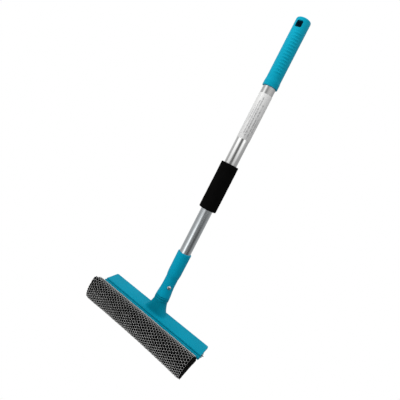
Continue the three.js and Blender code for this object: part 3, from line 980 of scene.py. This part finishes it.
def net_lattice():
    """The net's yarns as one closed mesh round the sponge, with rows of near six-sided openings."""
    columns = int((NET_RIGHT - NET_LEFT) / COLUMN_PITCH)
    pitch = (NET_RIGHT - NET_LEFT) / (columns + 1 / 3)
    rows = round(PERIMETER / ROW_PITCH)
    half_row = PERIMETER / rows / 2
    mesh = bmesh.new()
    shared = {}

    def lattice_point(u, v, level):
        """A vertex on the yarns' centre lines: u in sixths of a pitch, v in quarters of a row."""
        key = (u, v % (4 * rows), level)
        if key not in shared:
            x = NET_LEFT + (u + 4) * pitch / 6
            shared[key] = mesh.verts.new(sponge_point(x, v * half_row / 2 / PERIMETER, level))
        return shared[key]

    knot, middle = NET_GAP + NET_THICKNESS + 0.1, NET_GAP + NET_THICKNESS - 0.08
    corners = [(4, 0), (2, 2), (-2, 2), (-4, 0), (-2, -2), (2, -2)]
    boundary = {}  # sides of the yarns at the net's ends, which no second opening shares
    for column in range(columns):
        for row in range(rows):
            u0, v0 = 6 * column, 4 * row + 2 * (column % 2)
            rim = []
            for k, (u, v) in enumerate(corners):
                following = corners[(k + 1) % 6]
                rim.append((u0 + u, v0 + v, knot))
                rim.append((u0 + (u + following[0]) // 2, v0 + (v + following[1]) // 2, middle))
            centre_x = NET_LEFT + (u0 + 4) * pitch / 6
            holes = {name: [] for name in ("shoulder", "edge", "under")}
            spokes = [((u - u0) * pitch / 6, (v - v0) * half_row / 2) for u, v, _ in rim]
            nearest = min(math.hypot(*spoke) for spoke in spokes)
            for across, along in spokes:
                length = math.hypot(across, along)
                widening = (length / nearest) ** MESH_ANGULARITY
                for name, reach, level in (
                    ("shoulder", MESH_HOLE_R + 0.1, NET_GAP + NET_THICKNESS - 0.16),
                    ("edge", MESH_HOLE_R, NET_GAP + 0.6 * NET_THICKNESS),
                    ("under", MESH_HOLE_R + 0.1, NET_GAP + 0.05),
                ):
                    step = reach * widening / length
                    share = (v0 * half_row / 2 + along * step) / PERIMETER
                    holes[name].append(mesh.verts.new(sponge_point(centre_x + across * step, share, level)))
            top = [lattice_point(*point) for point in rim]
            base = [lattice_point(u, v, NET_GAP) for u, v, _ in rim]
            rings = [top, holes["shoulder"], holes["edge"], holes["under"], base]
            for depth, (ring, inner) in enumerate(zip(rings, rings[1:])):
                for k in range(12):
                    face = mesh.faces.new((ring[k], ring[(k + 1) % 12], inner[(k + 1) % 12], inner[k]))
                    # Faces below the yarns' edge take the painted shade material.
                    face.material_index = int(depth > 1)
            for k in range(12):
                following = (k + 1) % 12
                edge = frozenset((top[k], top[following]))
                side = (top[k], top[following], base[following], base[k])
                boundary[edge] = None if edge in boundary else side
    for side in boundary.values():
        if side:
            mesh.faces.new(side)
    return outward(mesh)


def sponge_net():
    """The knitted net, with painted shade: the sides and undersides of its yarns get a near-black copy of
    the yarn.
    """
    mesh = net_lattice()
    painted_shade_slots = [face.material_index for face in mesh.faces]
    piece = as_object(mesh, "net")
    finish_piece(piece, HEAD, yarn, ["sponge_net"], 80)
    piece.data.materials.append(yarn_painted_shade)
    piece.data.polygons.foreach_set("material_index", painted_shade_slots)
    return piece


# ---- assembly ----
hand_grip()
metal_tube("upper_tube", OUTER_R, OUTER_WALL, OUTER_BOTTOM, OUTER_TOP, upper_aluminium, "outer_tube", HANDLE)
tube_label()
foam_grip()
metal_tube("lower_tube", INNER_R, INNER_WALL, INNER_BOTTOM, INNER_TOP, lower_aluminium, "inner_tube", HEAD)
pole_socket()
pan_head_screw("neck_fastener", 3, NECK_R + 0.1, at_neck_screw(), "neck_screw")
head_body()
head_jaw()
for number, screw_x in enumerate(jaw_screw_places(), 1):
    outward_turn = Matrix.Translation((screw_x, 0, 0)) @ Matrix.Rotation(math.pi, 4, "X")
    pan_head_screw(f"jaw_fastener_{number}", -3.3, 4.2, on_blade @ outward_turn, f"jaw_screw_{number}")
sponge_rail()
rubber_blade()
sponge_core()
sponge_net()

for node, material in (
    ("tube_ferrule", black_nylon),
    ("lock_plug", white_nylon),
    ("lock_collet", white_nylon),
    ("spindle_cap", white_nylon),
):
    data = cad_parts[node].data
    data.materials.clear()
    data.materials.append(material)

# ---- studio ----
CAMERA_PLACE = (0.2428, -0.5364, SEAM + 0.2413)
CAMERA_AZIMUTH, CAMERA_DIP, CAMERA_ROLL = (math.radians(angle) for angle in (25.3, 3.1, 27.1))
LENS, SENSOR = 31.5, 36
VIEW_SHIFT = (-0.0395, -0.05)
FLOOR_DROP = 1.1  # metres below the tool
FLOOR_SIZE = 1.3


def add_camera():
    """A camera looking down a little at the tool from the sponge side, rolled so that the pole leans."""
    heading, dip = CAMERA_AZIMUTH, CAMERA_DIP
    forward = Vector((-math.sin(heading) * math.cos(dip), math.cos(heading) * math.cos(dip), -math.sin(dip)))
    level = Vector((math.cos(heading), math.sin(heading), 0))
    upright = level.cross(forward)
    right = math.cos(CAMERA_ROLL) * level + math.sin(CAMERA_ROLL) * upright
    up = math.cos(CAMERA_ROLL) * upright - math.sin(CAMERA_ROLL) * level
    data = bpy.data.cameras.new("camera")
    data.lens, data.sensor_width = LENS, SENSOR
    data.shift_x, data.shift_y = VIEW_SHIFT
    camera = bpy.data.objects.new("camera", data)
    facing = Matrix((right, up, -forward)).transposed().to_4x4()
    camera.matrix_world = Matrix.Translation(CAMERA_PLACE) @ facing
    bpy.context.scene.collection.objects.link(camera)
    bpy.context.scene.camera = camera


# The studio's brightness round the object, at four slopes of sight from looking down to looking up:
# degrees from the sponge side towards +X, and the level there. The levels are fitted, so that the tubes'
# reflections fall as they do in the photograph.
ROUNDS = (
    (
        -0.28,
        (
            (-180, 0.42), (-120, 0.48), (-84, 0.36), (-52, 0.38), (-28, 0.6), (-16, 1.3),
            (0, 1.3), (10, 0.36), (26, 0.22), (50, 0.17), (62, 0.09), (86, 0.07), (100, 0.18),
            (116, 0.28), (140, 0.33), (180, 0.42),
        ),
    ),
    (
        -0.16,
        (
            (-180, 0.42), (-120, 0.48), (-84, 0.34), (-56, 0.38), (-42, 0.46), (-22, 0.46),
            (-8, 0.3), (6, 0.17), (30, 0.15), (60, 0.19), (85, 0.24), (100, 0.22), (116, 0.25),
            (150, 0.33), (180, 0.42),
        ),
    ),
    (
        0.06,
        (
            (-180, 0.42), (-120, 0.62), (-84, 0.46), (-64, 0.44), (-52, 1.35), (-15, 1.35),
            (-2, 0.42), (10, 0.13), (33, 0.13), (46, 1.3), (72, 1.3), (88, 0.56), (115, 0.4),
            (150, 0.34), (180, 0.42),
        ),
    ),
    (
        0.22,
        (
            (-180, 0.42), (-120, 0.58), (-84, 0.4), (-62, 0.46), (-46, 0.92), (-26, 0.92),
            (-12, 0.36), (2, 0.22), (14, 0.28), (28, 0.42), (60, 0.48), (85, 0.46), (115, 0.38),
            (150, 0.32), (180, 0.42),
        ),
    ),
)
OVERHEAD = 0.78
WORLD_STRENGTH = 1.0
SOFT_BOXES = (  # name, place in metres, size, power
    ("key", (-0.9, -1.0, 0.7), 1.0, 14),
    ("fill", (0.3, 0.6, 1.2), 1.4, 10),
    ("front", (0.45, -0.9, 0.35), 0.9, 3.4),
)


def ring_ramp(tree, around, stops):
    """Brightness by direction round the object."""
    ramp = add(tree, "ValToRGB", {"Fac": around})
    elements = ramp.color_ramp.elements
    while len(elements) > 1:
        elements.remove(elements[-1])
    for index, (degrees, level) in enumerate(stops):
        element = elements[0] if index == 0 else elements.new((degrees + 180) / 360)
        element.position = (degrees + 180) / 360
        element.color = (level, level, level, 1)
    return ramp.outputs["Color"]


def add_world():
    """A white studio seen by the camera, with two soft boxes and the darker gaps between them."""
    world = bpy.data.worlds.new("studio")
    bpy.context.scene.world = world
    world.use_nodes = True
    tree = world.node_tree
    tree.nodes.clear()
    direction = add(tree, "TexCoord").outputs["Generated"]
    axes = add(tree, "SeparateXYZ", {"Vector": direction}).outputs
    turn = math_node(tree, "ARCTAN2", axes["X"], math_node(tree, "MULTIPLY", axes["Y"], -1.0))
    around = remap(tree, turn, -math.pi, math.pi, 0, 1)
    slope, stops = ROUNDS[0]
    sides = ring_ramp(tree, around, stops)
    for next_slope, stops in ROUNDS[1:]:
        level = remap(tree, axes["Z"], slope, next_slope, 0, 1)
        sides = mix_colors(tree, level, sides, ring_ramp(tree, around, stops))
        slope = next_slope
    above = remap(tree, axes["Z"], 0.3, 0.7, 0, 1)
    light = mix_colors(tree, above, sides, (OVERHEAD, OVERHEAD, OVERHEAD, 1))
    seen = add(tree, "LightPath").outputs["Is Camera Ray"]
    color = mix_colors(tree, seen, light, (1, 1, 1, 1))
    background = add(tree, "Background", {"Color": color, "Strength": WORLD_STRENGTH})
    output = add(tree, "OutputWorld")
    tree.links.new(background.outputs[0], output.inputs["Surface"])


def add_soft_box(name, place, target, size, power):
    """A square lamp aimed at the tool, left out of reflections, which the studio's rings draw."""
    data = bpy.data.lights.new(name, "AREA")
    data.shape, data.size, data.energy = "SQUARE", size, power
    lamp = bpy.data.objects.new(name, data)
    aim = Vector(target) - Vector(place)
    lamp.matrix_world = Matrix.Translation(place) @ aim.to_track_quat("-Z", "Y").to_matrix().to_4x4()
    lamp.visible_glossy = False
    bpy.context.scene.collection.objects.link(lamp)


def add_floor():
    """A plain pale floor below the hanging tool."""
    mesh = bmesh.new()
    bmesh.ops.create_grid(mesh, x_segments=2, y_segments=2, size=FLOOR_SIZE / 2)
    data = bpy.data.meshes.new("floor")
    mesh.to_mesh(data)
    mesh.free()
    floor = bpy.data.objects.new("floor", data)
    floor.location = (0, 0, cad_low.z - FLOOR_DROP)
    bpy.context.scene.collection.objects.link(floor)
    material, tree, shader = new_material("floor_paint")
    clouds = noise_at(tree, place_of(tree), 3, 3)
    paint = mix_colors(tree, clouds, (0.93, 0.93, 0.93, 1), (0.95, 0.95, 0.95, 1))
    tree.links.new(paint, shader.inputs["Base Color"])
    shader.inputs["Roughness"].default_value = 0.9
    data.materials.append(material)


add_camera()
add_world()
add_floor()
middle = (cad_low + cad_high) / 2
for name, place, size, power in SOFT_BOXES:
    add_soft_box(name, place, middle, size, power)
bpy.context.scene.view_settings.view_transform = "Standard"
